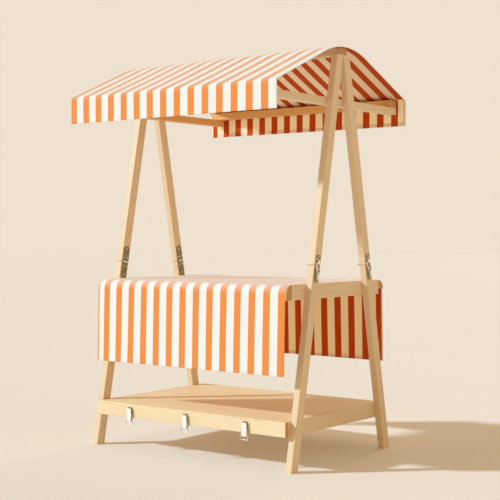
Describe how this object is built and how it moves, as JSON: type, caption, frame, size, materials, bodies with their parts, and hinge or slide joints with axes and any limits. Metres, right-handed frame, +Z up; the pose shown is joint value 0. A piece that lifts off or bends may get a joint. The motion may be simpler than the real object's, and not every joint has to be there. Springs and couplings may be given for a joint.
{
  "type": "wooden market stall",
  "caption": "Wooden market stall with leaning end frames, a striped canvas roof with valances, a clothed counter and a low shelf.",
  "frame": {"origin": "on the ground, under the middle of the stall", "axes": "+Z up; +X along the counter; the customer stands at -Y, in front"},
  "size_m": [1.402, 1.22, 2.1474],
  "materials": {
    "frame_timber": "planed pale softwood, clear finish",
    "edge_timber": "planed pale softwood, clear finish",
    "board_timber": "sanded pale softwood board",
    "hinge_steel": "zinc plated, dulled",
    "latch_steel": "zinc plated",
    "canopy_canvas": "orange and warm white woven stripes",
    "counter_canvas": "orange and warm white woven stripes"
  },
  "bodies": {
    "root": {"canopy": "canopy_canvas", "counter_board": "board_timber", "counter_cloth": "counter_canvas", "counter_front_nosing": "edge_timber", "counter_left_end_board": "edge_timber", "counter_rear_nosing": "edge_timber", "counter_right_end_board": "edge_timber", "front_eave_rail": "frame_timber", "left_front_latch_strike": "latch_steel", "left_front_leg_hinge": "hinge_steel", "left_front_leg_latch": "latch_steel", "left_front_lower_leg": "frame_timber", "left_front_upper_leg": "frame_timber", "left_rear_latch_strike": "latch_steel", "left_rear_leg_hinge": "hinge_steel", "left_rear_leg_latch": "latch_steel", "left_rear_lower_leg": "frame_timber", "left_rear_upper_leg": "frame_timber", "left_tie_beam": "frame_timber", "rear_eave_rail": "frame_timber", "ridge_beam": "frame_timber", "right_front_latch_strike": "latch_steel", "right_front_leg_hinge": "hinge_steel", "right_front_leg_latch": "latch_steel", "right_front_lower_leg": "frame_timber", "right_front_upper_leg": "frame_timber", "right_rear_latch_strike": "latch_steel", "right_rear_leg_hinge": "hinge_steel", "right_rear_leg_latch": "latch_steel", "right_rear_lower_leg": "frame_timber", "right_rear_upper_leg": "frame_timber", "right_tie_beam": "frame_timber", "shelf_board": "board_timber", "shelf_front_rail": "edge_timber", "shelf_left_rail": "edge_timber", "shelf_rail_latch_1": "latch_steel", "shelf_rail_latch_2": "latch_steel", "shelf_rail_latch_3": "latch_steel", "shelf_rear_rail": "edge_timber", "shelf_right_rail": "edge_timber"}
  },
  "joints": []
}
